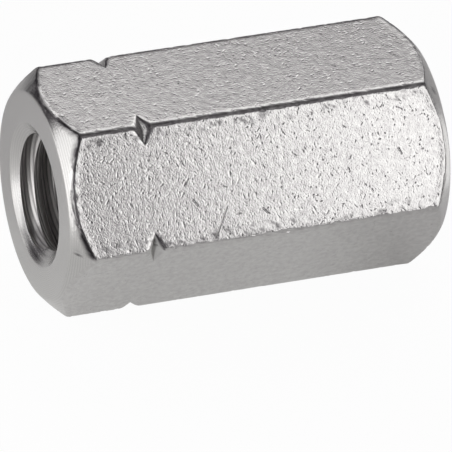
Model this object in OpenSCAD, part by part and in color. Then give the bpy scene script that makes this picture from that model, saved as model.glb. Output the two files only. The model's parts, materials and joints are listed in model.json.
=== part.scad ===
// Coupling nut: a long hexagon nut that joins two threaded rods end to end.
// It lies on one of its flats, with the thread axis along X and the marked end at -X.
// The origin is on the thread axis, halfway along the nut.
// The hole is drawn at the size that is drilled for the tap, so its wall is the thread's crest.

/* [Hexagon bar] */
// Width across flats
across_flats = 13; // [11:0.5:24]
// Length over the two end faces
nut_length = 24; // [14:0.5:60]
// How much the long edges of the drawn bar are rounded off, measured towards the axis
edge_ease = 0.06; // [0.02:0.01:0.2]

/* [End chamfers] */
// Slope of the chamfers, measured from the end face
chamfer_angle = 42; // [20:1:50]
// How far the face circle of the marked end lies inside the flats
marked_inset = 0.3; // [0.1:0.05:0.8]
// How far the face circle of the plain end lies inside the flats
plain_inset = 0.55; // [0.1:0.05:0.8]

/* [Marking groove] */
// Distance from the marked end face to the bottom of the groove
groove_offset = 5; // [3.5:0.1:9]
// Depth of the groove at the corners, which are the only places that it cuts
groove_depth = 0.5; // [0.25:0.05:0.8]
// Angle between the two flanks of the groove
groove_angle = 90; // [50:5:110]

/* [Thread] */
// Nominal diameter of the rod's thread
thread_d = 8; // [4:0.5:9]
// Height of the nut's thread, from its root to its crest
thread_height = 0.6; // [0.3:0.05:1]
// How far the countersinks open beyond the nominal diameter, on each side
countersink_lip = 0.35; // [0.1:0.05:0.6]
// Angle of the countersinks, from flank to flank
countersink_angle = 105; // [60:5:140]

/* [Hidden] */

// Smooth enough for every turned surface
$fn = 96;
// How far a cutting shape, or the raw bar, runs past an end face
overrun = 1;

// The two end faces along the thread axis
marked_x = -nut_length / 2;
plain_x = nut_length / 2;

// The bar's corners, sharp and as rounded off
flat_r = across_flats / 2;
sharp_corner_r = flat_r / cos(30);
corner_r = sharp_corner_r - edge_ease;

// The circles that bound the end faces, and how far the chamfers run down the corners
marked_face_r = flat_r - marked_inset;
plain_face_r = flat_r - plain_inset;
marked_chamfer = (corner_r - marked_face_r) * tan(chamfer_angle);
plain_chamfer = (corner_r - plain_face_r) * tan(chamfer_angle);

// The groove's bottom circle and half of its width at the corners
groove_x = marked_x + groove_offset;
groove_r = sharp_corner_r - groove_depth;
groove_half = (corner_r - groove_r) * tan(groove_angle / 2);

// The tapping hole and its countersinks
hole_r = thread_d / 2 - thread_height;
countersink_r = thread_d / 2 + countersink_lip;
countersink_slope = tan(countersink_angle / 2);
countersink_depth = (countersink_r - hole_r) / countersink_slope;
countersink_open_r = countersink_r + overrun * countersink_slope;

// Half of the outline that is turned on the bar, as [radius, x]: chamfers at both ends and the groove
turned_outline = [
    [0, marked_x],
    [marked_face_r, marked_x],
    [corner_r, marked_x + marked_chamfer],
    [corner_r, groove_x - groove_half],
    [groove_r, groove_x],
    [corner_r, groove_x + groove_half],
    [corner_r, plain_x - plain_chamfer],
    [plain_face_r, plain_x],
    [0, plain_x],
];

// Half of the outline of the hole, as [radius, x], from beyond one end face to beyond the other
hole_outline = [
    [0, marked_x - overrun],
    [countersink_open_r, marked_x - overrun],
    [hole_r, marked_x + countersink_depth],
    [hole_r, plain_x - countersink_depth],
    [countersink_open_r, plain_x + overrun],
    [0, plain_x + overrun],
];

// Revolves half an outline round the thread axis
module turned(outline) {
    rotate([0, 90, 0])
        rotate_extrude()
            polygon(outline);
}

// The raw hexagon bar, with two of its flats level
module hexagon_bar() {
    rotate([0, 90, 0])
        rotate([0, 0, 90])
            cylinder(h = nut_length + 2 * overrun, r = sharp_corner_r, center = true, $fn = 6);
}

// The nut: hexagon bar turned at its ends and corners, then drilled and countersunk from both ends
module coupling_nut() {
    color("silver")
        difference() {
            intersection() {
                hexagon_bar();
                turned(turned_outline);
            }
            turned(hole_outline);
        }
}

coupling_nut();
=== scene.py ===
"""Visual model of a long stainless hexagon nut that joins two threaded rods, on a pale studio floor."""

import json
import logging
import math
from dataclasses import dataclass, field
from enum import Enum

import bmesh
import bpy
import numpy as np
from mathutils import Matrix, Vector, noise


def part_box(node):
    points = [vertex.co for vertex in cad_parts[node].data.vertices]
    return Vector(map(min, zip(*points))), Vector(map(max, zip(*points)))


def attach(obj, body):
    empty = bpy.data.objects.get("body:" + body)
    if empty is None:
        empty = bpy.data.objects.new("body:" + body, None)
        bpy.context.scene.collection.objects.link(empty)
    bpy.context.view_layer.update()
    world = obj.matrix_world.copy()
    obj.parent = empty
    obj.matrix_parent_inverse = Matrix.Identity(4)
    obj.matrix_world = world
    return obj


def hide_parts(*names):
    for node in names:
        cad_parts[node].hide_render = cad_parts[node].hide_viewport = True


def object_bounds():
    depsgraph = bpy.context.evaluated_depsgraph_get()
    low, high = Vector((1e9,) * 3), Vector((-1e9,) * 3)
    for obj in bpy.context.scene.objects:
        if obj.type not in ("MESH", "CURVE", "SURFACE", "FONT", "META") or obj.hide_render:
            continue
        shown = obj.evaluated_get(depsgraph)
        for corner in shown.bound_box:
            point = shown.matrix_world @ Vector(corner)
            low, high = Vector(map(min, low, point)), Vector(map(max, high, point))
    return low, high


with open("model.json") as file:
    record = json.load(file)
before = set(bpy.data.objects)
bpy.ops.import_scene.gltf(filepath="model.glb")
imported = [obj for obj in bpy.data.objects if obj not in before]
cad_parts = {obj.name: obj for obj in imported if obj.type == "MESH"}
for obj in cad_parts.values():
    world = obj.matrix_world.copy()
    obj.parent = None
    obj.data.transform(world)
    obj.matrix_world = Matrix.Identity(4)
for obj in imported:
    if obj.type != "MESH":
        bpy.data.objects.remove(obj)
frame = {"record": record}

CAD_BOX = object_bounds()
LOG = logging.getLogger("coupling nut")

# Short names of Blender's types
Tree = bpy.types.NodeTree
Socket = bpy.types.NodeSocket

# One millimetre, in the scene's metres
MM = 0.001
# Width and height of the picture, in pixels, and width of the camera's sensor in millimetres
PICTURE_SIDE = 452
SENSOR_WIDTH = 36.0
# Half of the angle that one flat of the hexagon takes up round the axis, in degrees and in radians
HALF_FLAT_DEGREES = 30
HALF_FLAT_ANGLE = math.radians(HALF_FLAT_DEGREES)
# Length of one wave of the Wave Texture at a scale of 1
WAVE_LENGTH = math.tau / 20
# Colour of painted shade and painted dark reflections, and of dark residue of cutting oil and fine metal,
# as it looks on the steel
SHADE_AND_RESIDUE_COLOUR = "#2A262A"


class ToolMarks(Enum):
    """Which way a cutting tool leaves its fine marks, as the Wave Texture names it."""

    ROUND_THE_FACE = "RINGS"
    ALONG_THE_BORE = "BANDS"


class Surface(Enum):
    """The nut's surfaces, in the order of its material slots."""

    FLATS = 0
    TURNED = 1
    THREAD = 2


def linear(hex_colour: str) -> tuple[float, float, float, float]:
    """Turns an sRGB hex colour into a linear one.

    Args:
        hex_colour: Six hex digits, with or without a leading hash.

    Returns:
        Linear red, green and blue, and an alpha of 1.
    """
    digits = hex_colour.lstrip("#")
    parts = [int(digits[start:start + 2], 16) / 255 for start in (0, 2, 4)]
    red, green, blue = (p / 12.92 if p <= 0.04045 else ((p + 0.055) / 1.055) ** 2.4 for p in parts)
    return red, green, blue, 1.0


def add_node(tree: Tree, kind: str, sockets: dict, **settings: object) -> bpy.types.Node:
    """Adds a node to a tree, with its settings and its links.

    Args:
        tree: The node tree that gets the node.
        kind: Blender's name for the kind of node.
        sockets: For each input, by name or number, its value or the output that it is linked to.
        settings: The node's own properties.

    Returns:
        The new node.
    """
    node = tree.nodes.new(kind)
    for name, value in settings.items():
        setattr(node, name, value)
    for name, value in sockets.items():
        if isinstance(value, Socket):
            tree.links.new(value, node.inputs[name])
        else:
            node.inputs[name].default_value = value
    return node


def new_material(name: str) -> tuple[bpy.types.Material, Tree]:
    """Makes a material with an empty node tree.

    Args:
        name: What the material is.

    Returns:
        The material and its node tree.
    """
    material = bpy.data.materials.new(name)
    material.use_nodes = True
    material.node_tree.nodes.clear()
    return material, material.node_tree


def new_object(name: str, shape: bmesh.types.BMesh) -> bpy.types.Object:
    """Turns a bmesh into an object of the scene and frees the bmesh.

    Args:
        name: The object's name.
        shape: Its shape, in the scene's frame.

    Returns:
        The object, at the origin.
    """
    mesh = bpy.data.meshes.new(name)
    shape.to_mesh(mesh)
    shape.free()
    piece = bpy.data.objects.new(name, mesh)
    bpy.context.scene.collection.objects.link(piece)
    return piece


def ramp(distance: np.ndarray, width: float) -> np.ndarray:
    """Rises smoothly from 0 to 1 as a distance goes from 0 to a width."""
    share = np.clip(distance / width, 0.0, 1.0)
    return share * share * (3.0 - 2.0 * share)


@dataclass(frozen=True)
class RandomField:
    """Random values over the steel: a coarse noise with a finer one on top of it."""

    # Width of the coarse noise, height of both, and how many times as fine the second one is
    width: float
    coarse: float
    fine: float
    step: float

    def at(self, point: np.ndarray) -> float:
        """Gives the value at a point."""
        spot = Vector(point) / self.width
        return self.coarse * noise.noise(spot) + self.fine * noise.noise(spot * self.step)


@dataclass(frozen=True)
class Patches:
    """How random values break a layer of residue up into patches."""

    # Share where the value is 0, what the value adds to it, and the least and the greatest share
    middle: float
    gain: float
    least: float
    most: float

    def share(self, value: float) -> float:
        """Turns a random value into a share of residue."""
        return min(max(self.middle + self.gain * value, self.least), self.most)


@dataclass(frozen=True)
class Sector:
    """A stretch of the way round the axis, in degrees from +Y towards +Z, which fades out at both ends."""

    middle: float
    half: float
    fade: float

    def share(self, angle: np.ndarray) -> np.ndarray:
        """Gives 1 for the angles inside, 0 beyond the fading ends, and between there."""
        return 1 - ramp(np.abs(angle - self.middle) - self.half, self.fade)


@dataclass(frozen=True)
class ResidueAndPaintedShade:
    """Where the dark colour goes: painted shade in the groove, the thread's roots and the countersinks'
    lower sides, painted dark reflections along the upper edges, the flats' ends and the marked chamfer's
    top, and real smears of residue on the front flat.
    """

    # Groove: share of painted shade inside it, and share, width and reach below its bottom of the painted
    # black line on its lip
    in_groove: float = 0.2
    on_lip: float = 0.88
    lip_width: float = 0.09 * MM
    lip_below: float = 0.1 * MM
    # Thread: greatest share of painted shade in its roots, the depth below the crest at which it starts,
    # and how much deeper it is full
    in_thread: float = 0.15
    thread_from: float = 0.2 * MM
    thread_rise: float = 0.5 * MM
    # Countersinks: the stretch of painted shade on their lower side, its depth, the width of its rings and
    # how fast they change round it
    sink_sector: Sector = Sector(middle=-80, half=15, fade=35)
    sink_depth: float = 0.7 * MM
    ring_width: float = 0.16 * MM
    ring_waves: float = 2.5
    sink_patches: Patches = Patches(middle=0.35, gain=0.9, least=0.0, most=0.7)
    # Painted dark reflections along the long edges: width, and the share of the radius above which an edge
    # is an upper one, the only ones that get them
    edge_line: float = 0.24 * MM
    edge_from: float = 0.7
    # Painted dark reflections along the ends of the flats: width, height over which they start, and share
    # at the plain end
    end_line: float = 0.27 * MM
    end_rise: float = 0.2 * MM
    plain_end: float = 0.4
    # How far below the groove's bottom the lines reach
    line_below: float = 0.3 * MM
    line_patches: Patches = Patches(middle=0.85, gain=0.5, least=0.55, most=0.96)
    # Smears on the front flat: how far they reach from its edges
    smear_reach: float = 1.1 * MM
    smear_patches: Patches = Patches(middle=-0.3, gain=2.0, least=0.0, most=0.75)
    # Marked chamfer: the stretch of painted dark reflection at its top
    chamfer_sector: Sector = Sector(middle=80, half=12, fade=22)
    chamfer_patches: Patches = Patches(middle=0.5, gain=0.5, least=0.2, most=0.75)
    # Random values that break up the lines, the smears and the dark stretch of the chamfer
    unevenness: RandomField = RandomField(width=0.45 * MM, coarse=1.0, fine=0.8, step=2.7)


def nick_wall(tree: Tree, offset: Socket, course: Socket | Vector, length: float, radius: float) -> Socket:
    """Adds the nodes that shape one straight nick with round ends.

    Args:
        tree: The material's node tree.
        offset: Place of each point, measured from the middle of the nick.
        course: Direction in which the nick runs, of length 1.
        length: Length of its bottom.
        radius: Distance from its bottom at which it ends.

    Returns:
        The output that rises from 0 at the bottom of the nick to 1 where it ends.
    """
    along = add_node(tree, "ShaderNodeVectorMath", {0: offset, 1: course}, operation="DOT_PRODUCT")
    within = add_node(
        tree, "ShaderNodeClamp", {"Value": along.outputs["Value"], "Min": -length / 2, "Max": length / 2}
    )
    foot = add_node(
        tree, "ShaderNodeVectorMath", {0: course, "Scale": within.outputs["Result"]}, operation="SCALE"
    )
    away = add_node(
        tree, "ShaderNodeVectorMath", {0: offset, 1: foot.outputs["Vector"]}, operation="DISTANCE"
    )
    wall = add_node(
        tree,
        "ShaderNodeMapRange",
        {"Value": away.outputs["Value"], "From Max": radius},
        interpolation_type="SMOOTHSTEP",
    )
    return wall.outputs["Result"]


@dataclass(frozen=True)
class Nicks:
    """Short straight nicks that lie every which way in the flats, at most one in each cell."""

    # Width of a cell, and length, radius and greatest depth of a nick
    spacing_mm: float
    length_mm: float
    radius_mm: float
    depth_mm: float
    # Share of the cells that have none
    bare: float

    def bump(self, tree: Tree, place: Socket, strength: Socket, normal: Socket) -> Socket:
        """Adds the nodes that press the nicks into a surface.

        Args:
            tree: The material's node tree.
            place: The surface's own coordinates.
            strength: How much of the nicks shows at each point.
            normal: The normal of the surface without them.

        Returns:
            The normal with the nicks.
        """
        cell = add_node(
            tree, "ShaderNodeTexVoronoi", {"Vector": place, "Scale": 1 / (self.spacing_mm * MM)}
        )
        offset = add_node(
            tree, "ShaderNodeVectorMath", {0: place, 1: cell.outputs["Position"]}, operation="SUBTRACT"
        )
        middle_grey = (0.5, 0.5, 0.5)
        lean = add_node(
            tree, "ShaderNodeVectorMath", {0: cell.outputs["Color"], 1: middle_grey}, operation="SUBTRACT"
        )
        course = add_node(tree, "ShaderNodeVectorMath", {0: lean.outputs["Vector"]}, operation="NORMALIZE")
        wall = nick_wall(
            tree,
            offset.outputs["Vector"],
            course.outputs["Vector"],
            self.length_mm * MM,
            self.radius_mm * MM,
        )
        chance = add_node(tree, "ShaderNodeTexWhiteNoise", {"Vector": cell.outputs["Color"]})
        depth = add_node(
            tree,
            "ShaderNodeMapRange",
            {"Value": chance.outputs["Value"], "From Min": self.bare, "To Max": self.depth_mm * MM},
        )
        nicked = add_node(
            tree,
            "ShaderNodeBump",
            {
                "Strength": strength,
                "Distance": depth.outputs["Result"],
                "Height": wall,
                "Normal": normal,
            },
        )
        return nicked.outputs["Normal"]


@dataclass(frozen=True)
class Scar:
    """One deeper knock on the flat that faces the front."""

    # Its two ends, each along the axis from the nut's middle and up the flat from its middle line
    start_mm: tuple[float, float]
    end_mm: tuple[float, float]
    radius_mm: float
    depth_mm: float

    def bump(self, tree: Tree, place: Socket, flat_mm: float, normal: Socket) -> Socket:
        """Adds the nodes that knock the scar into the flat.

        Args:
            tree: The material's node tree.
            place: The nut's own coordinates.
            flat_mm: Distance of the flat from the thread axis.
            normal: The normal of the surface without the scar.

        Returns:
            The normal with the scar.
        """
        lean = HALF_FLAT_ANGLE
        ends = []
        for along, up in (self.start_mm, self.end_mm):
            y = up * math.sin(lean) - flat_mm * math.cos(lean)
            z = up * math.cos(lean) + flat_mm * math.sin(lean)
            ends.append(Vector((along, y, z)) * MM)
        run = ends[1] - ends[0]
        offset = add_node(
            tree, "ShaderNodeVectorMath", {0: place, 1: (ends[0] + ends[1]) / 2}, operation="SUBTRACT"
        )
        wall = nick_wall(tree, offset.outputs["Vector"], run.normalized(), run.length, self.radius_mm * MM)
        knocked = add_node(
            tree,
            "ShaderNodeBump",
            {"Strength": 1.0, "Distance": self.depth_mm * MM, "Height": wall, "Normal": normal},
        )
        return knocked.outputs["Normal"]


def add_steel(tree: Tree, colour: Socket | tuple, residue_and_shade: Socket, sockets: dict) -> None:
    """Adds the steel itself, darkened where painted shade or residue lies on it, and the material's
    output.

    Args:
        tree: The material's node tree.
        colour: Colour of the clean steel.
        residue_and_shade: How much painted shade and residue lies on it.
        sockets: The steel's other inputs.
    """
    # The dark colour stands for painted shade and painted dark reflections as well as real residue
    mixed = {0: residue_and_shade, 6: colour, 7: linear(SHADE_AND_RESIDUE_COLOUR)}
    darkened = add_node(tree, "ShaderNodeMix", mixed, data_type="RGBA")
    steel = add_node(tree, "ShaderNodeBsdfPrincipled", {"Base Color": darkened.outputs[2], **sockets})
    add_node(tree, "ShaderNodeOutputMaterial", {"Surface": steel.outputs["BSDF"]})


@dataclass(frozen=True)
class DrawnStainless:
    """Stainless hexagon bar, cold drawn and tumbled: satin grey flats covered in fine dents and nicks."""

    colour: str = "#C1C0BE"
    # Faintly stained steel between the dents, and the width of its patches
    stain: str = "#B3B1B0"
    stain_mm: float = 0.3
    roughness: float = 0.23
    # Distance of the flats from the thread axis
    flat_mm: float = 6.5
    # Width and depth of the small dents, and the height above which the steel between them is level,
    # with the softness of the change, both as shares of that depth
    dent_mm: float = 0.13
    dent_depth_mm: float = 0.009
    level: float = 0.54
    level_softness: float = 0.06
    # Width and depth of the fine grain over all of it
    grain_mm: float = 0.08
    grain_depth_mm: float = 0.005
    # Nicks of two sizes
    nicks: tuple[Nicks, ...] = (
        Nicks(spacing_mm=0.3, length_mm=0.24, radius_mm=0.085, depth_mm=0.018, bare=0.25),
        Nicks(spacing_mm=0.8, length_mm=0.4, radius_mm=0.12, depth_mm=0.0145, bare=0.5),
    )
    # Knocks that stand out on the front flat
    scars: tuple[Scar, ...] = (
        Scar((8.56, 0.18), (8.71, -0.16), 0.085, 0.032),
        Scar((-4.45, -1.0), (-4.2, -1.35), 0.09, 0.026),
        Scar((-0.2, -2.1), (0.05, -2.4), 0.085, 0.028),
        Scar((-2.4, -1.7), (-3.3, -3.4), 0.07, 0.02),
    )

    def material(self) -> bpy.types.Material:
        """Makes the material of the flats.

        Returns:
            The material, which fades its dents out with the mesh's own attribute near the edges.
        """
        material, tree = new_material("drawn stainless steel")
        place = add_node(tree, "ShaderNodeTexCoord", {}).outputs["Object"]
        open_flat = add_node(tree, "ShaderNodeAttribute", {}, attribute_name="open_flat").outputs["Fac"]
        # Share of painted shade, painted dark reflections and residue, from the mesh's attribute
        residue_and_shade = add_node(tree, "ShaderNodeAttribute", {}, attribute_name="residue_and_shade").outputs["Fac"]
        dents = add_node(
            tree,
            "ShaderNodeTexNoise",
            {
                "Vector": place,
                "Scale": 1 / (self.dent_mm * MM),
                "Detail": 1.0,
                "Roughness": 0.5,
                "Distortion": 0.4,
            },
        )
        levelled = add_node(
            tree,
            "ShaderNodeMath",
            {0: dents.outputs["Fac"], 1: self.level, 2: self.level_softness},
            operation="SMOOTH_MIN",
        )
        dent_bump = add_node(
            tree,
            "ShaderNodeBump",
            {
                "Strength": open_flat,
                "Distance": self.dent_depth_mm * MM,
                "Height": levelled.outputs["Value"],
            },
        )
        normal = dent_bump.outputs["Normal"]
        for nicks in self.nicks:
            normal = nicks.bump(tree, place, open_flat, normal)
        for scar in self.scars:
            normal = scar.bump(tree, place, self.flat_mm, normal)
        grain = add_node(
            tree, "ShaderNodeTexNoise", {"Vector": place, "Scale": 1 / (self.grain_mm * MM), "Detail": 0.0}
        )
        grain_bump = add_node(
            tree,
            "ShaderNodeBump",
            {
                "Strength": open_flat,
                "Distance": self.grain_depth_mm * MM,
                "Height": grain.outputs["Fac"],
                "Normal": normal,
            },
        )
        stains = add_node(
            tree,
            "ShaderNodeTexNoise",
            {"Vector": place, "Scale": 1 / (self.stain_mm * MM), "Detail": 2.0, "Roughness": 0.6},
        )
        stain_share = add_node(
            tree, "ShaderNodeMapRange", {"Value": stains.outputs["Fac"], "From Min": 0.35, "From Max": 0.7}
        )
        stained = add_node(
            tree,
            "ShaderNodeMix",
            {0: stain_share.outputs["Result"], 6: linear(self.colour), 7: linear(self.stain)},
            data_type="RGBA",
        )
        normal = grain_bump.outputs["Normal"]
        sockets = {"Metallic": 1.0, "Roughness": self.roughness, "Normal": normal}
        add_steel(tree, stained.outputs[2], residue_and_shade, sockets)
        return material


@dataclass(frozen=True)
class TurnedStainless:
    """Stainless steel as a cutting tool leaves it: no dents, but faint tool marks and a fine grain."""

    name: str = "turned stainless steel"
    marks: ToolMarks = ToolMarks.ROUND_THE_FACE
    colour: str = "#BFBEBC"
    metallic: float = 1.0
    roughness: float = 0.25
    # Spacing and depth of the marks that the tool leaves, drawn as coarse as they need to show
    ring_mm: float = 0.12
    ring_depth_mm: float = 0.0012
    # How much residue the tool's marks hold
    streaks: float = 0.12
    # Width and depth of the grain
    grain_mm: float = 0.1
    grain_depth_mm: float = 0.007

    def material(self) -> bpy.types.Material:
        """Makes the material of the turned surfaces or of the thread.

        Returns:
            The material, which has its painted shade, painted dark reflections and residue where the
            mesh's own attribute says.
        """
        material, tree = new_material(self.name)
        place = add_node(tree, "ShaderNodeTexCoord", {}).outputs["Object"]
        # Share of painted shade, painted dark reflections and residue, from the mesh's attribute
        residue_and_shade = add_node(tree, "ShaderNodeAttribute", {}, attribute_name="residue_and_shade").outputs["Fac"]
        rings = add_node(
            tree,
            "ShaderNodeTexWave",
            {
                "Vector": place,
                "Scale": WAVE_LENGTH / (self.ring_mm * MM),
                "Distortion": 1.2,
                "Detail": 2.0,
                "Detail Scale": 0.35,
            },
            wave_type=self.marks.value,
            bands_direction="X",
            rings_direction="X",
        )
        ring_bump = add_node(
            tree,
            "ShaderNodeBump",
            {"Strength": 1.0, "Distance": self.ring_depth_mm * MM, "Height": rings.outputs["Fac"]},
        )
        grain = add_node(
            tree, "ShaderNodeTexNoise", {"Vector": place, "Scale": 1 / (self.grain_mm * MM), "Detail": 1.0}
        )
        grain_bump = add_node(
            tree,
            "ShaderNodeBump",
            {
                "Strength": 1.0,
                "Distance": self.grain_depth_mm * MM,
                "Height": grain.outputs["Fac"],
                "Normal": ring_bump.outputs["Normal"],
            },
        )
        streaks = add_node(
            tree,
            "ShaderNodeMapRange",
            {"Value": rings.outputs["Fac"], "From Min": 0.25, "From Max": 0.9, "To Max": self.streaks},
        )
        dark = add_node(
            tree, "ShaderNodeMath", {0: residue_and_shade, 1: streaks.outputs["Result"]}, operation="MAXIMUM"
        )
        normal = grain_bump.outputs["Normal"]
        sockets = {"Metallic": self.metallic, "Roughness": self.roughness, "Normal": normal}
        add_steel(tree, linear(self.colour), dark.outputs["Value"], sockets)
        return material


@dataclass(frozen=True)
class WhiteCard:
    """Matt white card, as it is laid under small goods: no gloss, and it keeps a soft shadow."""

    colour: str = "#F4F4F3"
    # Share of plain white in what the camera sees of the card
    white_seen: float = 0.96
    # Share of plain white glow in what the steel reflects of it: a painted pool of light round the nut,
    # full near its centre and gone at its end
    painted_glow_reflected: float = 0.53
    painted_pool_centre_mm: tuple[float, float] = (-5.0, -8.0)
    painted_pool_full_mm: float = 8.0
    painted_pool_end_mm: float = 23.0

    def material(self, level: float) -> bpy.types.Material:
        """Makes the floor's material.

        Args:
            level: Height of the floor.

        Returns:
            The material, a lit card with a share of plain white for the camera, and a painted pool of
            glowing white round the nut for reflections.
        """
        material, tree = new_material("matt white card")
        card = add_node(tree, "ShaderNodeBsdfDiffuse", {"Color": linear(self.colour)})
        white = add_node(tree, "ShaderNodeEmission", {"Color": (1, 1, 1, 1), "Strength": 1.0})
        ray = add_node(tree, "ShaderNodeLightPath", {})
        place = add_node(tree, "ShaderNodeTexCoord", {})
        centre = (self.painted_pool_centre_mm[0] * MM, self.painted_pool_centre_mm[1] * MM, level)
        away = add_node(
            tree, "ShaderNodeVectorMath", {0: place.outputs["Object"], 1: centre}, operation="DISTANCE"
        )
        # Painted pool of light on the floor, seen only in the steel's reflections
        painted_pool = add_node(
            tree,
            "ShaderNodeMapRange",
            {
                "Value": away.outputs["Value"],
                "From Min": self.painted_pool_full_mm * MM,
                "From Max": self.painted_pool_end_mm * MM,
                "To Min": self.painted_glow_reflected,
                "To Max": 0.0,
            },
            interpolation_type="SMOOTHSTEP",
        )
        reflected_share = add_node(
            tree,
            "ShaderNodeMath",
            {0: ray.outputs["Is Glossy Ray"], 1: painted_pool.outputs["Result"]},
            operation="MULTIPLY",
        )
        share = add_node(
            tree,
            "ShaderNodeMath",
            {0: ray.outputs["Is Camera Ray"], 1: self.white_seen, 2: reflected_share.outputs["Value"]},
            operation="MULTIPLY_ADD",
        )
        floor = add_node(
            tree,
            "ShaderNodeMixShader",
            {0: share.outputs["Value"], 1: card.outputs["BSDF"], 2: white.outputs["Emission"]},
        )
        add_node(tree, "ShaderNodeOutputMaterial", {"Surface": floor.outputs["Shader"]})
        return material


@dataclass
class Corner:
    """One corner of the nut's outline, in every column of the bar at once."""

    # Place along the axis and distance from it, for each column
    x: np.ndarray
    r: np.ndarray
    # How far the rounding reaches along both sides, and the steps that it takes
    ease: float
    bends: int
    # Steps of the straight run to the next corner
    spans: int
    # Surface of the rounding and of that run
    surface: Surface


@dataclass
class CouplingNut:
    """The nut: hexagon bar, turned at both ends, grooved across its corners, drilled and tapped.

    Lengths are in metres. The thread axis is X, and the marked end is the one with the groove, at -X.
    """

    name: str = "tapped_nut"
    node: str = "coupling_nut"
    slot: str = "stainless_steel"
    # Hexagon bar: how much its long edges are rounded off
    edge_ease: float = 0.08 * MM
    # End chamfers: slope from the face, and how far the face circles lie inside the flats
    chamfer_slope: float = math.tan(math.radians(42))
    marked_inset: float = 0.3 * MM
    plain_inset: float = 0.55 * MM
    # Marking groove: distance from the marked end, depth at the sharp corners and slope of its flanks
    groove_offset: float = 5 * MM
    groove_depth: float = 0.5 * MM
    groove_slope: float = math.tan(math.radians(45))
    # Half of the width that the groove's rows keep on the flats, where it doesn't cut
    groove_least: float = 0.04 * MM
    # Thread: radius at its root, pitch, width of the flat there and slope of its flanks
    thread_r: float = 4.1 * MM
    pitch: float = 1.25 * MM
    root_flat: float = 0.156 * MM
    flank_slope: float = math.tan(math.radians(30))
    # Depth below the marked face of the middle of a thread groove, on the +Y side
    thread_start: float = 0.77 * MM
    # Depths of that middle at which the first turn begins and at which it is full
    runout: tuple[float, float] = (0.3 * MM, 0.54 * MM)
    # Countersinks: radius at the faces and slope of their walls
    countersink_r: float = 4.35 * MM
    countersink_slope: float = math.tan(math.radians(52.5))
    # Reach of the roundings at the countersinks, the faces, the chamfers' edges and the groove's lips
    sink_round: float = 0.05 * MM
    marked_face_round: float = 0.16 * MM
    plain_face_round: float = 0.5 * MM
    marked_edge_round: float = 0.2 * MM
    plain_edge_round: float = 0.18 * MM
    lip_rounds: tuple[float, float] = (0.22 * MM, 0.24 * MM)
    # Greatest share of a straight run that a rounding takes at each end
    round_share: float = 0.45
    # Columns of the mesh on each flat and on each half of a rounded edge
    flat_columns: int = 48
    edge_columns: int = 4
    # Tap: steps in one turn, turns before the first groove and past the plain end, and gap round its core
    tap_steps: int = 96
    lead_turns: int = 3
    tail_turns: int = 2
    core_gap: float = 0.15 * MM
    # Distance below which two points of the tap are one
    weld: float = 0.002 * MM
    # Angle above which an edge is shaded sharp
    sharp_angle: float = math.radians(32)
    # Larger tumbling dents: where they are, their middle depth as a share of the greatest, and that depth
    dents: RandomField = RandomField(width=0.3 * MM, coarse=0.5, fine=0.2, step=2.3)
    dent_middle: float = 0.5
    dent_depth: float = 0.009 * MM
    # Smooth rims that the dents leave along the ends of the flats and along their long edges
    end_rim: float = 0.3 * MM
    side_rim: float = 0.14 * MM
    # How far below a flat a point may lie and still belong to it
    flat_skin: float = 0.1 * MM
    # Burr that the turning tool raises along the ends of the flats: width, height and reach past them
    burr_width: float = 0.45 * MM
    burr_height: float = 0.02 * MM
    burr_reach: float = 0.05 * MM
    # Worn edges: reach from the edge, where the wear is, the value from which it cuts, its greatest depth
    # and the share of that at the ends of the flats
    wear_reach: float = 0.3 * MM
    wear: RandomField = RandomField(width=0.4 * MM, coarse=0.7, fine=0.6, step=2.6)
    wear_from: float = 0.05
    wear_depth: float = 0.15 * MM
    end_wear: float = 0.6
    # Painted shade, painted dark reflections and dark residue
    shade_and_dirt: ResidueAndPaintedShade = ResidueAndPaintedShade()

    flat_r: float = field(init=False)
    hole_r: float = field(init=False)
    marked_x: float = field(init=False)
    plain_x: float = field(init=False)

    def __post_init__(self) -> None:
        """Takes the driving sizes from the frame."""
        low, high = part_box(self.node)
        self.marked_x = low.x
        self.plain_x = high.x
        self.flat_r = (high.z - low.z) / 2
        thread = next(m for m in frame["record"]["mounts"] if m["name"] == "thread_marked_end")
        self.hole_r = thread["dims"]["r_mm"] * MM

    @property
    def half_flat(self) -> float:
        """Half of the width of a flat, to its sharp corner."""
        return self.flat_r * math.tan(HALF_FLAT_ANGLE)

    @property
    def corner_r(self) -> float:
        """Radius of the hexagon's sharp corners."""
        return self.flat_r / math.cos(HALF_FLAT_ANGLE)

    @property
    def groove_x(self) -> float:
        """Place of the groove's bottom along the axis."""
        return self.marked_x + self.groove_offset

    @property
    def groove_r(self) -> float:
        """Radius of the groove's bottom."""
        return self.corner_r - self.groove_depth

    def bar_outline(self) -> tuple[np.ndarray, np.ndarray]:
        """Works out the section of the drawn bar, a hexagon with rounded corners.

        Returns:
            For each column, its angle from +Y towards +Z and its distance from the axis.
        """
        edge_r = self.edge_ease / (1 / math.cos(HALF_FLAT_ANGLE) - 1)
        centre_h = self.flat_r - edge_r
        centre_w = self.half_flat - edge_r * math.tan(HALF_FLAT_ANGLE)
        turn = np.radians(np.linspace(-HALF_FLAT_DEGREES, 0, self.edge_columns, endpoint=False))
        across = np.linspace(-centre_w, centre_w, self.flat_columns + 1)
        h = np.concatenate([
            centre_h + edge_r * np.cos(turn),
            np.full(across.size, self.flat_r),
            centre_h + edge_r * np.cos(-turn[:0:-1]),
        ])
        w = np.concatenate([
            -centre_w + edge_r * np.sin(turn),
            across,
            centre_w + edge_r * np.sin(-turn[:0:-1]),
        ])
        local = np.arctan2(w, h)
        middles = [math.radians((2 * side + 1) * HALF_FLAT_DEGREES) for side in range(6)]
        return np.concatenate([local + middle for middle in middles]), np.tile(np.hypot(h, w), 6)

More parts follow.
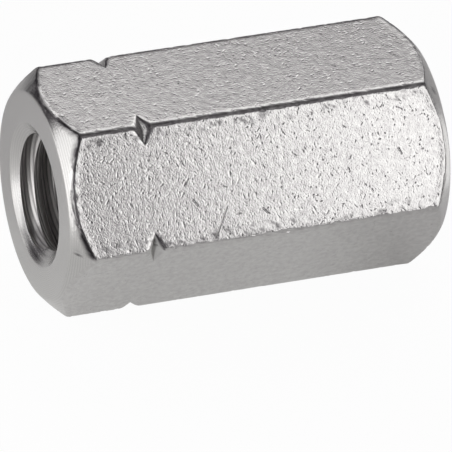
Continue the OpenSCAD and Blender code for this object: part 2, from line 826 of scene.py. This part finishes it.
    def corners(self, bar_r: np.ndarray) -> list[Corner]:
        """Lays out the closed outline of the nut's wall, from the hole at the marked end and back to it.

        Args:
            bar_r: Distance of the bar's surface from the axis, for each column.

        Returns:
            The outline's corners in order.
        """
        one = np.ones_like(bar_r)
        sink = (self.countersink_r - self.hole_r) / self.countersink_slope
        marked_face_r = self.flat_r - self.marked_inset
        plain_face_r = self.flat_r - self.plain_inset
        marked_edge = self.marked_x + (bar_r - marked_face_r) * self.chamfer_slope
        plain_edge = self.plain_x - (bar_r - plain_face_r) * self.chamfer_slope
        bottom_r = np.minimum(bar_r, self.groove_r)
        half_groove = self.groove_least + (bar_r - bottom_r) * self.groove_slope
        first_lip, second_lip = self.lip_rounds
        turned, flats, thread = Surface.TURNED, Surface.FLATS, Surface.THREAD
        # Each row: place, radius, reach of the rounding, its steps, steps of the run after it, and surface
        return [
            Corner(one * (self.marked_x + sink), one * self.hole_r, 0.0, 0, 10, turned),
            Corner(one * self.marked_x, one * self.countersink_r, self.sink_round, 2, 4, turned),
            Corner(one * self.marked_x, one * marked_face_r, self.marked_face_round, 4, 3, turned),
            Corner(marked_edge, bar_r, self.marked_edge_round, 5, 28, flats),
            Corner(self.groove_x - half_groove, bar_r, first_lip, 3, 2, turned),
            Corner(one * self.groove_x, bottom_r, 0.0, 0, 2, turned),
            Corner(self.groove_x + half_groove, bar_r, second_lip, 4, 130, flats),
            Corner(plain_edge, bar_r, self.plain_edge_round, 5, 3, turned),
            Corner(one * self.plain_x, one * plain_face_r, self.plain_face_round, 6, 4, turned),
            Corner(one * self.plain_x, one * self.countersink_r, self.sink_round, 2, 2, turned),
            Corner(one * (self.plain_x - sink), one * self.hole_r, 0.0, 0, 1, thread),
        ]

    def wall_rows(self, corners: list[Corner]) -> tuple[np.ndarray, list[Surface]]:
        """Runs the outline through its corners, rounding each one.

        Args:
            corners: The closed outline's corners.

        Returns:
            Rows of points (x and radius, for each column), and the surface that follows each row.
        """
        places = [np.stack([c.x, c.r], axis=-1) for c in corners]
        starts, ends = [], []
        for index, corner in enumerate(corners):
            before = places[index - 1] - places[index]
            after = places[(index + 1) % len(places)] - places[index]
            for side, points in ((before, starts), (after, ends)):
                run = np.linalg.norm(side, axis=-1, keepdims=True)
                points.append(places[index] + side / run * np.minimum(corner.ease, self.round_share * run))
        rows, surfaces = [], []
        for index, corner in enumerate(corners):
            for t in np.arange(corner.bends) / max(corner.bends, 1):
                near = (1 - t) * starts[index] + t * places[index]
                far = (1 - t) * places[index] + t * ends[index]
                rows.append((1 - t) * near + t * far)
                surfaces.append(corner.surface)
            goal = starts[(index + 1) % len(places)]
            for t in np.arange(corner.spans) / corner.spans:
                rows.append((1 - t) * ends[index] + t * goal)
                surfaces.append(corner.surface)
        return np.array(rows), surfaces

    def on_flats(self, points: np.ndarray) -> tuple[np.ndarray, np.ndarray, np.ndarray]:
        """Measures how far points lie from the edges of the flat that they face.

        Args:
            points: Places on the nut, one in each row.

        Returns:
            For each point, its distance inside the long edges, inside the chamfers and off the groove.
        """
        x, y, z = points.T
        local = np.arctan2(z, y) % (2 * HALF_FLAT_ANGLE) - HALF_FLAT_ANGLE
        across = np.hypot(y, z) * np.sin(local)
        bar_r = np.hypot(self.flat_r, across)
        marked_chamfer = (bar_r - self.flat_r + self.marked_inset) * self.chamfer_slope
        plain_chamfer = (bar_r - self.flat_r + self.plain_inset) * self.chamfer_slope
        groove = np.maximum(bar_r - self.groove_r, 0.0) * self.groove_slope
        from_sides = self.half_flat - np.abs(across)
        from_ends = np.minimum(x - self.marked_x - marked_chamfer, self.plain_x - x - plain_chamfer)
        from_groove = np.where(groove > 0, np.abs(x - self.groove_x) - groove, self.end_rim)
        return from_sides, from_ends, from_groove

    def open_flat(self, points: np.ndarray) -> np.ndarray:
        """Says how far each point lies on the open part of a flat.

        Args:
            points: Places on the nut, one in each row.

        Returns:
            For each point 1 on the open flat, 0 on its edges and off the flats, and between on the rim.
        """
        from_sides, from_ends, from_groove = self.on_flats(points)
        facing = self.facing(points)
        height = np.einsum("ij,ij->i", facing, points)
        share = ramp(from_sides - self.side_rim / 2, self.side_rim)
        share *= ramp(from_ends, self.end_rim) * ramp(from_groove, self.side_rim)
        return share * (height > self.flat_r - self.flat_skin)

    def facing(self, points: np.ndarray) -> np.ndarray:
        """Finds the flat that each point lies on or next to.

        Args:
            points: Places on the nut, one in each row.

        Returns:
            For each point, that flat's outward direction.
        """
        side = np.floor(np.arctan2(points[:, 2], points[:, 1]) / (2 * HALF_FLAT_ANGLE))
        angle = np.radians((2 * side + 1) * HALF_FLAT_DEGREES)
        return np.stack([np.zeros_like(angle), np.cos(angle), np.sin(angle)], axis=-1)

    def groove_painted_shade(self, points: np.ndarray) -> np.ndarray:
        """Says how much painted shade lies deep in the groove and along its lip on the plain end's side,
        on the nut's upper half.

        Args:
            points: Places on the nut, one in each row.

        Returns:
            For each point, a share from 0 to 1.
        """
        shade_and_dirt = self.shade_and_dirt
        x, y, z = points.T
        _, _, from_groove = self.on_flats(points)
        radius = np.hypot(y, z)
        # Painted shade that deepens towards the groove's bottom
        inside = shade_and_dirt.in_groove * ramp(self.corner_r - radius, self.groove_depth) * (from_groove < 0)
        # A painted black line along the lip, only on the nut's upper half
        lip = shade_and_dirt.on_lip * (1 - ramp(np.abs(from_groove - shade_and_dirt.lip_width / 4), shade_and_dirt.lip_width))
        lip *= (x > self.groove_x) * (radius > self.groove_r - shade_and_dirt.lip_below) * (z > 0)
        return np.maximum(inside, lip)

    def hole_painted_shade(self, points: np.ndarray) -> np.ndarray:
        """Says how much painted shade lies in the thread's roots and on the lower side of the
        countersinks.

        Args:
            points: Places on the nut, one in each row.

        Returns:
            For each point, a share from 0 to 1.
        """
        shade_and_dirt = self.shade_and_dirt
        x, y, z = points.T
        radius = np.hypot(y, z)
        inside = radius < self.countersink_r
        depth = self.plain_x - np.abs(x)
        wall_r = np.maximum(self.countersink_r - depth * self.countersink_slope, self.hole_r)
        # Painted shade in the thread's roots
        thread = shade_and_dirt.in_thread * ramp(radius - wall_r - shade_and_dirt.thread_from, shade_and_dirt.thread_rise) * inside
        angle = np.arctan2(z, y)
        # Painted shade with rings on the lower side of each countersink
        sink = shade_and_dirt.sink_sector.share(np.degrees(angle)) * (depth < shade_and_dirt.sink_depth) * inside
        for index in np.flatnonzero(sink):
            spot = Vector((radius[index] / shade_and_dirt.ring_width, angle[index] * shade_and_dirt.ring_waves, 0))
            sink[index] *= shade_and_dirt.sink_patches.share(noise.noise(spot))
        return np.maximum(thread, sink)

    def edge_shade_and_smears(self, points: np.ndarray) -> np.ndarray:
        """Says where painted dark reflections lie along the upper edges, the ends of the flats and the top
        of the marked chamfer, and where real smears of residue lie on the front flat.

        Args:
            points: Places on the nut, one in each row.

        Returns:
            For each point, a share from 0 to 1.
        """
        shade_and_dirt = self.shade_and_dirt
        x, y, z = points.T
        from_sides, from_ends, _ = self.on_flats(points)
        radius = np.hypot(y, z)
        # The flats face 60 degrees apart, so only the front one's direction is close to this
        front = (0.0, -math.cos(HALF_FLAT_ANGLE), math.sin(HALF_FLAT_ANGLE))
        # Smears: real residue near the front flat's edges
        smear = 1 - ramp(np.abs(from_sides - shade_and_dirt.smear_reach / 2), shade_and_dirt.smear_reach / 2)
        smear *= (radius > self.flat_r) * (self.facing(points) @ front > 0.9)
        # Painted dark reflections along the upper long edges only
        edge = (1 - ramp(np.abs(from_sides), shade_and_dirt.edge_line)) * (z > shade_and_dirt.edge_from * radius)
        # Painted dark reflections along the ends of the flats
        end = (1 - ramp(np.abs(from_ends), shade_and_dirt.end_line)) * ramp(z, shade_and_dirt.end_rise)
        end *= np.where(x < self.groove_x, 1.0, shade_and_dirt.plain_end)
        line = np.maximum(edge, end) * (radius > self.groove_r - shade_and_dirt.line_below)
        on_chamfer = (from_ends < 0) * (x < self.groove_x) * (radius > self.flat_r - self.marked_inset)
        # Painted dark reflection on the top of the marked chamfer
        chamfer = shade_and_dirt.chamfer_sector.share(np.degrees(np.arctan2(z, y))) * on_chamfer
        for index in np.flatnonzero(smear + line + chamfer):
            value = shade_and_dirt.unevenness.at(points[index])
            smear[index] *= shade_and_dirt.smear_patches.share(value)
            line[index] *= shade_and_dirt.line_patches.share(value)
            chamfer[index] *= shade_and_dirt.chamfer_patches.share(value)
        return np.maximum.reduce([smear, line, chamfer])

    def dent(self, points: np.ndarray) -> np.ndarray:
        """Presses the larger tumbling dents into the flats, and wears the edges.

        Args:
            points: Places on the nut, one in each row.

        Returns:
            The places with the dents and the wear.
        """
        share = self.open_flat(points)
        from_sides, from_ends, _ = self.on_flats(points)
        radius = np.hypot(points[:, 1], points[:, 2])
        along_sides = 1 - ramp(np.abs(from_sides), self.wear_reach)
        along_sides *= ramp(from_ends + self.wear_reach / 3, self.wear_reach)
        along_ends = self.end_wear * (1 - ramp(np.abs(from_ends), self.wear_reach))
        near = np.maximum(along_sides, along_ends) * (radius > self.flat_r - self.plain_inset)
        depth = np.zeros(len(points))
        wear = np.zeros(len(points))
        for index in np.flatnonzero(share):
            depth[index] = self.dent_middle + self.dents.at(points[index])
        for index in np.flatnonzero(near):
            wear[index] = self.wear.at(points[index]) - self.wear_from
        on_burr = (from_ends > -self.burr_reach) * (radius > self.flat_r - self.burr_height)
        burr = (1 - ramp(from_ends, self.burr_width)) * on_burr
        depth = np.maximum(depth, 0.0) * share * self.dent_depth - burr * self.burr_height
        wear = np.clip(wear, 0.0, 1.0) * near * self.wear_depth
        inward = points * (0, 1, 1) / radius[:, None]
        return points - self.facing(points) * depth[:, None] - inward * wear[:, None]

    def blank(self) -> bpy.types.Object:
        """Turns the nut's wall round the axis, then gives it the flats and their dents.

        Returns:
            The nut without its thread.
        """
        angles, bar_r = self.bar_outline()
        rows, surfaces = self.wall_rows(self.corners(bar_r))
        shape = bmesh.new()
        row_mark = shape.verts.layers.int.new("row")
        ring = []
        for number, (x, r) in enumerate(rows[:, 0]):
            vertex = shape.verts.new((x, r, 0.0))
            vertex[row_mark] = number
            ring.append(vertex)
        edges = [shape.edges.new((ring[n - 1], ring[n])) for n in range(len(ring))]
        bmesh.ops.spin(
            shape,
            geom=ring + edges,
            cent=(0, 0, 0),
            axis=(1, 0, 0),
            dvec=(0, 0, 0),
            angle=math.tau,
            steps=angles.size,
            use_merge=True,
        )
        shape.verts.ensure_lookup_table()
        row = np.array([v[row_mark] for v in shape.verts])
        turn = np.array([math.atan2(v.co.z, v.co.y) for v in shape.verts])
        column = np.rint(turn / math.tau * angles.size).astype(int) % angles.size
        x, r = rows[row, column].T
        points = np.stack([x, r * np.cos(angles[column]), r * np.sin(angles[column])], axis=-1)
        for vertex, place in zip(shape.verts, self.dent(points)):
            vertex.co = place
        last = len(rows) - 1
        for face in shape.faces:
            numbers = sorted({v[row_mark] for v in face.verts})
            first = last if numbers == [0, last] else numbers[0]
            # The groove doesn't cut the middle of a flat, so its rows stay drawn steel there
            middle = face.calc_center_median()
            by_groove = abs(middle.x - self.groove_x) < 2 * self.groove_depth
            uncut = by_groove and math.hypot(middle.y, middle.z) < self.groove_r
            face.material_index = Surface.FLATS.value if uncut else surfaces[first].value
        bmesh.ops.recalc_face_normals(shape, faces=shape.faces)
        return new_object(self.name, shape)

    def tap(self) -> bpy.types.Object:
        """Sweeps the tap that cuts the thread: one ridge that winds along the axis.

        Returns:
            The tap, a closed screw that runs past both ends of the nut.
        """
        core_r = self.hole_r - self.core_gap
        half_root = self.root_flat / 2
        half_core = half_root + (self.thread_r - core_r) * self.flank_slope
        first = self.marked_x + self.thread_start - self.lead_turns * self.pitch
        ridges = math.ceil((self.plain_x - first) / self.pitch) + self.tail_turns
        ridge = (
            (-half_core, core_r),
            (-half_root, self.thread_r),
            (half_root, self.thread_r),
            (half_core, core_r),
        )
        shape = bmesh.new()
        ridge_mark = shape.verts.layers.int.new("ridge")
        ring = []
        for number in range(ridges):
            for mark, (offset, radius) in enumerate(ridge):
                vertex = shape.verts.new((first + number * self.pitch + offset, radius, 0.0))
                vertex[ridge_mark] = mark
                ring.append(vertex)
        edges = [shape.edges.new(pair) for pair in zip(ring, ring[1:])]
        bmesh.ops.spin(
            shape,
            geom=ring + edges,
            cent=(0, 0, 0),
            axis=(1, 0, 0),
            dvec=(self.pitch / self.tap_steps, 0, 0),
            angle=math.tau,
            steps=self.tap_steps,
            use_merge=False,
        )
        bmesh.ops.remove_doubles(shape, verts=shape.verts, dist=self.weld)
        first_depth, full_depth = self.runout
        for vertex in shape.verts:
            offset, radius = ridge[vertex[ridge_mark]]
            share = (vertex.co.x - offset - self.marked_x - first_depth) / (full_depth - first_depth)
            cut_r = core_r + (radius - core_r) * min(max(share, 0.0), 1.0)
            vertex.co.yz = vertex.co.yz * (cut_r / radius)
        near = 3 * self.pitch
        for end in (first - self.pitch, first + (ridges + 1) * self.pitch):
            border = [edge for edge in shape.edges if edge.is_boundary]
            rim = [edge for edge in border if abs(edge.verts[0].co.x - end) < near]
            cap = bmesh.ops.extrude_edge_only(shape, edges=rim)
            tips = [item for item in cap["geom"] if isinstance(item, bmesh.types.BMVert)]
            bmesh.ops.pointmerge(shape, verts=tips, merge_co=(end, 0, 0))
        for face in shape.faces:
            face.material_index = Surface.THREAD.value
        bmesh.ops.recalc_face_normals(shape, faces=shape.faces)
        return new_object("tap", shape)

    def build(self) -> bpy.types.Object:
        """Makes the nut as one closed piece and sets it in the frame.

        Returns:
            The finished piece, without its materials.
        """
        piece = self.blank()
        tap = self.tap()
        cut = piece.modifiers.new("tapping", "BOOLEAN")
        cut.operation = "DIFFERENCE"
        cut.solver = "MANIFOLD"
        cut.object = tap
        evaluated = piece.evaluated_get(bpy.context.evaluated_depsgraph_get())
        tapped = bpy.data.meshes.new_from_object(evaluated)
        tapped.name = self.name
        piece.modifiers.clear()
        piece.data = tapped
        bpy.data.objects.remove(tap)
        tapped.shade_smooth()
        tapped.set_sharp_from_angle(angle=self.sharp_angle)
        points = np.empty(len(tapped.vertices) * 3)
        tapped.vertices.foreach_get("co", points)
        points = points.reshape(-1, 3)
        # Painted shade and painted dark reflections, with the real smears, make up one attribute
        shades_and_residues = [self.groove_painted_shade(points), self.hole_painted_shade(points), self.edge_shade_and_smears(points)]
        shares = {"open_flat": self.open_flat(points), "residue_and_shade": np.maximum.reduce(shades_and_residues)}
        for name, share in shares.items():
            tapped.attributes.new(name, "FLOAT", "POINT").data.foreach_set("value", share)
        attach(piece, "root")
        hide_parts(self.node)
        return piece

    def dress(self, piece: bpy.types.Object) -> None:
        """Gives the nut its three finishes.

        Args:
            piece: The finished piece.
        """
        finishes = {
            Surface.FLATS: DrawnStainless(),
            Surface.TURNED: TurnedStainless(),
            Surface.THREAD: TurnedStainless(
                name="tapped stainless steel painted lighter",
                marks=ToolMarks.ALONG_THE_BORE,
                # Painted light: a lighter copy of the steel's colour stands in for light bouncing round
                # inside the thread
                colour="#D2D0CE",
                metallic=0.88,
                roughness=0.32,
                ring_mm=0.16,
                ring_depth_mm=0.006,
                streaks=0.6,
            ),
        }
        mesh = piece.data
        # Clearing the materials puts every face in the first slot, so the faces' own slots are put back
        slots = np.empty(len(mesh.polygons), dtype=np.int32)
        mesh.polygons.foreach_get("material_index", slots)
        mesh.materials.clear()
        for surface in Surface:
            mesh.materials.append(finishes[surface].material())
        mesh.polygons.foreach_set("material_index", slots)


@dataclass(frozen=True)
class Softbox:
    """One flat soft light of the studio."""

    name: str
    # Centre of its face and the point that it looks at
    place: tuple[float, float, float]
    aim: tuple[float, float, float]
    # Width and height of its face
    width: float
    height: float
    # Brightness of its face, where 1 is a white surface in full light
    brightness: float

    def build(self) -> None:
        """Hangs the light in the scene, where the camera itself doesn't see it."""
        lamp = bpy.data.lights.new(self.name, "AREA")
        lamp.shape = "RECTANGLE"
        lamp.size = self.width
        lamp.size_y = self.height
        lamp.energy = self.brightness * math.pi * self.width * self.height
        light = bpy.data.objects.new(self.name, lamp)
        bpy.context.scene.collection.objects.link(light)
        towards = Vector(self.aim) - Vector(self.place)
        turn = towards.to_track_quat("-Z", "Y").to_matrix().to_4x4()
        light.matrix_world = Matrix.Translation(self.place) @ turn
        light.visible_camera = False


@dataclass
class Studio:
    """The pale floor, the soft lights and the dim room round them."""

    # Side of the square floor
    floor_side: float = 4.0
    # Colour and brightness of the room
    room_colour: str = "#F1E9F3"
    room: float = 0.16
    # Name, centre, aim, width, height and brightness of each light
    lights: tuple[Softbox, ...] = (
        Softbox("front softbox", (0.107, -0.1716, 0.0697), (0, 0, 0), 0.1, 0.17, 2.1),
        Softbox("left card", (-0.036, -0.003, 0.0095), (0, -0.003, 0.0055), 0.027, 0.032, 1.65),
        Softbox("low left card", (-0.036, 0.0145, -0.001), (0, 0.007, -0.001), 0.009, 0.011, 1.4),
        Softbox("right softbox", (0.33, 0.21, 0.25), (0, 0, 0), 0.26, 0.26, 1.3),
        Softbox("overhead panel", (0.05, 0, 0.5), (0, 0, 0), 0.5, 0.5, 0.3),
        Softbox("back panel", (0.108, 0.216, 0.266), (0, 0, 0), 0.28, 0.16, 1.58),
        Softbox("far panel", (-0.10, 0.285, 0.20), (0, 0, 0), 0.2, 0.14, 0.8),
        Softbox("side panel", (-0.29, -0.21, 0.18), (0, 0, 0), 0.38, 0.2, 0.95),
        Softbox("right card", (0.055, -0.012, 0.008), (0.02, 0.005, -0.006), 0.02, 0.02, 1.4),
        Softbox("low right card", (0.024, -0.002, -0.0017), (0.012, -0.005, 0.002), 0.0065, 0.0094, 0.85),
    )

    def build(self) -> None:
        """Lays the floor under the nut, hangs the lights and fills the room with dim light."""
        low, _ = CAD_BOX
        shape = bmesh.new()
        bmesh.ops.create_grid(shape, x_segments=1, y_segments=1, size=self.floor_side / 2)
        bmesh.ops.translate(shape, verts=shape.verts, vec=(0, 0, low[2]))
        floor = new_object("floor", shape)
        floor.data.materials.append(WhiteCard().material(low[2]))
        LOG.info("floor: %.1f m square", self.floor_side)
        for softbox in self.lights:
            softbox.build()
            LOG.info("light: %s, brightness %.2f", softbox.name, softbox.brightness)
        world = bpy.data.worlds.new("dim room")
        world.use_nodes = True
        world.node_tree.nodes.clear()
        glow = add_node(
            world.node_tree,
            "ShaderNodeBackground",
            {"Color": linear(self.room_colour), "Strength": self.room},
        )
        add_node(world.node_tree, "ShaderNodeOutputWorld", {"Surface": glow.outputs["Background"]})
        bpy.context.scene.world = world


@dataclass
class Viewpoint:
    """The camera, which looks at the nut from above and from its marked end, through a long lens."""

    # Degrees: round from the front, up from level, and the tilt of the picture
    azimuth: float = -22.655
    elevation: float = 34.384
    roll: float = 4.396
    # Focal length in millimetres
    lens: float = 800.0
    # Size of the nut in the picture, in pixels for a metre, and the pixel of its middle
    pixels_per_metre: float = 16.9401 / MM
    middle: tuple[float, float] = (225.71, 165.55)

    def build(self) -> None:
        """Sets the camera up and makes it the scene's own."""
        round_angle = math.radians(self.azimuth)
        up_angle = math.radians(self.elevation)
        back = Vector((
            math.sin(round_angle) * math.cos(up_angle),
            -math.cos(round_angle) * math.cos(up_angle),
            math.sin(up_angle),
        ))
        tilt = Matrix.Rotation(math.radians(self.roll), 3, "Z")
        turn = back.to_track_quat("Z", "Y").to_matrix() @ tilt
        right, up, back = (turn.col[n] for n in range(3))
        distance = self.lens / SENSOR_WIDTH * PICTURE_SIDE / self.pixels_per_metre
        across = (self.middle[0] - PICTURE_SIDE / 2) / self.pixels_per_metre
        down = (self.middle[1] - PICTURE_SIDE / 2) / self.pixels_per_metre
        place = back * distance - right * across + up * down
        data = bpy.data.cameras.new("camera")
        data.lens = self.lens
        data.sensor_width = SENSOR_WIDTH
        data.clip_start = 0.01
        data.clip_end = 10.0
        camera = bpy.data.objects.new("camera", data)
        bpy.context.scene.collection.objects.link(camera)
        camera.matrix_world = Matrix.Translation(place) @ turn.to_4x4()
        bpy.context.scene.camera = camera


def main() -> None:
    """Builds the nut, the studio and the camera."""
    logging.basicConfig(level=logging.INFO, format="%(name)s: %(message)s")
    nut = CouplingNut()
    piece = nut.build()
    nut.dress(piece)
    triangles = sum(len(polygon.vertices) - 2 for polygon in piece.data.polygons)
    LOG.info("nut: %d triangles in one closed piece", triangles)
    Studio().build()
    Viewpoint().build()
    bpy.context.scene.view_settings.view_transform = "Standard"


if __name__ == "__main__":
    main()
